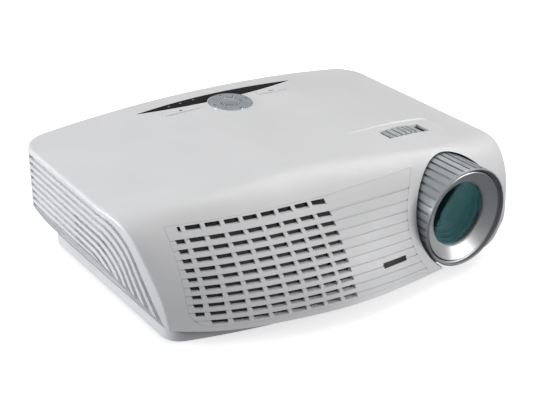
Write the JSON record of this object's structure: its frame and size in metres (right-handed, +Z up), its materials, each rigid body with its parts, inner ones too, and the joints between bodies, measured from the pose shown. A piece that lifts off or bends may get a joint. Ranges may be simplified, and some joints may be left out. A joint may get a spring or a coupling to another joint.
{
  "type": "home projector",
  "caption": "Low white home projector with a louvred front, ribbed focus ring round the lens, top control pad, zoom window and tilt feet.",
  "frame": {"origin": "on the surface the feet stand on, below the middle of the object", "axes": "+X towards the lens side (the object's left), +Y towards the rear, +Z up"},
  "size_m": [0.322, 0.2407, 0.097],
  "materials": {
    "case_white": "satin moulded white",
    "grille_white": "satin moulded white",
    "base_grey": "fine textured pale grey",
    "rear_grey": "fine textured pale grey",
    "gloss_black": "polished black",
    "light_pipe": "frosted clear",
    "nav_silver": "silver satin",
    "ring_silver": "silver satin",
    "ring_grey": "silver grey satin",
    "cell_silver": "silver satin",
    "lens_glass": "coated optical glass",
    "filter_glass": "coloured filter segments",
    "black_plastic": "matte black",
    "cast_metal": "as cast",
    "circuit_green": "solder mask",
    "sheet_steel": "plated sheet",
    "lamp_resin": "heat-resistant dark resin",
    "reflector": "mirror coated",
    "plated": "bright nickel plate",
    "port_blue": "blue insulator",
    "brass": "machined",
    "screw_steel": "zinc plated",
    "foot_rubber": "matte black rubber"
  },
  "bodies": {
    "case": {"ac_inlet": "black_plastic", "ac_inlet_pins": "plated", "base_case": "base_grey", "board_shield": "sheet_steel", "case_screws": "screw_steel", "ceiling_mount_inserts": "brass", "colour_wheel_motor": "sheet_steel", "computer_port": "port_blue", "digital_video_sockets": "plated", "exhaust_fan_frame": "black_plastic", "front_grille": "grille_white", "imager_board": "circuit_green", "imager_heatsink": "cast_metal", "indicator_strip": "gloss_black", "ir_window": "gloss_black", "keypad_board": "circuit_green", "lamp_ballast_board": "circuit_green", "lamp_blower_case": "black_plastic", "lamp_burner": "lens_glass", "lamp_door": "base_grey", "lamp_door_screws": "screw_steel", "lamp_housing": "lamp_resin", "lamp_reflector": "reflector", "lamp_window": "lens_glass", "lens_mount_tube": "black_plastic", "lens_shroud": "black_plastic", "light_engine_housing": "cast_metal", "light_engine_lid": "cast_metal", "light_tunnel": "lens_glass", "main_board": "circuit_green", "power_board": "circuit_green", "rear_lens": "lens_glass", "rear_panel": "rear_grey", "service_port": "plated", "status_light_pipes": "light_pipe", "top_cover": "case_white", "trigger_jack": "black_plastic", "video_jacks": "plated"},
    "focus_ring": {"focus_ring": "ring_silver"},
    "focus_cell": {"focus_cell": "cell_silver", "front_lens": "lens_glass"},
    "zoom_ring": {"zoom_ring": "ring_grey"},
    "zoom_cell": {"zoom_cell": "black_plastic", "zoom_lens": "lens_glass"},
    "power_button": {"power_button": "case_white"},
    "source_button": {"source_button": "case_white"},
    "nav_up": {"nav_up": "nav_silver"},
    "nav_down": {"nav_down": "nav_silver"},
    "nav_left": {"nav_left": "nav_silver"},
    "nav_right": {"nav_right": "nav_silver"},
    "enter_button": {"enter_button": "nav_silver"},
    "exhaust_fan": {"exhaust_fan_rotor": "black_plastic"},
    "lamp_blower": {"lamp_blower_impeller": "black_plastic"},
    "colour_wheel": {"colour_wheel": "filter_glass"},
    "front_left_foot": {"front_left_foot_pad": "foot_rubber", "front_left_foot_stud": "screw_steel"},
    "front_right_foot": {"front_right_foot_pad": "foot_rubber", "front_right_foot_stud": "screw_steel"},
    "rear_foot": {"rear_foot_pad": "foot_rubber", "rear_foot_stud": "screw_steel"}
  },
  "joints": [
    {"name": "focus_turn", "type": "hinge", "parent": "case", "child": "focus_ring", "pos_m": [0.0906, -0.09, 0.0488], "axis": [0, 1, 0], "range_deg": [-45, 45]},
    {"name": "focus_travel", "type": "slide", "parent": "case", "child": "focus_cell", "axis": [0, 1, 0], "range_m": [-0.0008, 0.0008]},
    {"name": "zoom_turn", "type": "hinge", "parent": "case", "child": "zoom_ring", "pos_m": [0.0906, -0.038, 0.0488], "axis": [0, 1, 0], "range_deg": [-15, 15]},
    {"name": "zoom_travel", "type": "slide", "parent": "case", "child": "zoom_cell", "axis": [0, 1, 0], "range_m": [-0.0045, 0.0045]},
    {"name": "power_button_press", "type": "slide", "parent": "case", "child": "power_button", "axis": [0, 0, -1], "range_m": [0, 0.001], "stiffness_N_per_m": 500, "springref_m": -0.0004},
    {"name": "source_button_press", "type": "slide", "parent": "case", "child": "source_button", "axis": [0, 0, -1], "range_m": [0, 0.001], "stiffness_N_per_m": 500, "springref_m": -0.0004},
    {"name": "nav_up_press", "type": "slide", "parent": "case", "child": "nav_up", "axis": [0, 0, -1], "range_m": [0, 0.001], "stiffness_N_per_m": 500, "springref_m": -0.0004},
    {"name": "nav_down_press", "type": "slide", "parent": "case", "child": "nav_down", "axis": [0, 0, -1], "range_m": [0, 0.001], "stiffness_N_per_m": 500, "springref_m": -0.0004},
    {"name": "nav_left_press", "type": "slide", "parent": "case", "child": "nav_left", "axis": [0, 0, -1], "range_m": [0, 0.001], "stiffness_N_per_m": 500, "springref_m": -0.0004},
    {"name": "nav_right_press", "type": "slide", "parent": "case", "child": "nav_right", "axis": [0, 0, -1], "range_m": [0, 0.001], "stiffness_N_per_m": 500, "springref_m": -0.0004},
    {"name": "enter_button_press", "type": "slide", "parent": "case", "child": "enter_button", "axis": [0, 0, -1], "range_m": [0, 0.001], "stiffness_N_per_m": 500, "springref_m": -0.0004},
    {"name": "exhaust_fan_spin", "type": "hinge", "parent": "case", "child": "exhaust_fan", "pos_m": [-0.077, -0.0305, 0.0435], "axis": [0, 1, 0], "continuous": true},
    {"name": "lamp_blower_spin", "type": "hinge", "parent": "case", "child": "lamp_blower", "pos_m": [-0.083, 0.068, 0.039], "axis": [0, 1, 0], "continuous": true},
    {"name": "colour_wheel_spin", "type": "hinge", "parent": "case", "child": "colour_wheel", "pos_m": [0.04, 0.027, 0.051], "axis": [1, 0, 0], "continuous": true},
    {"name": "front_left_foot_extend", "type": "slide", "parent": "case", "child": "front_left_foot", "axis": [0, 0, -1], "range_m": [0, 0.01]},
    {"name": "front_right_foot_extend", "type": "slide", "parent": "case", "child": "front_right_foot", "axis": [0, 0, -1], "range_m": [0, 0.01]},
    {"name": "rear_foot_extend", "type": "slide", "parent": "case", "child": "rear_foot", "axis": [0, 0, -1], "range_m": [0, 0.01]}
  ],
  "couplings": [
    {"joint": "focus_travel", "follows": "focus_turn", "m_per_rad": 0.001},
    {"joint": "zoom_travel", "follows": "zoom_turn", "m_per_rad": 0.016}
  ]
}
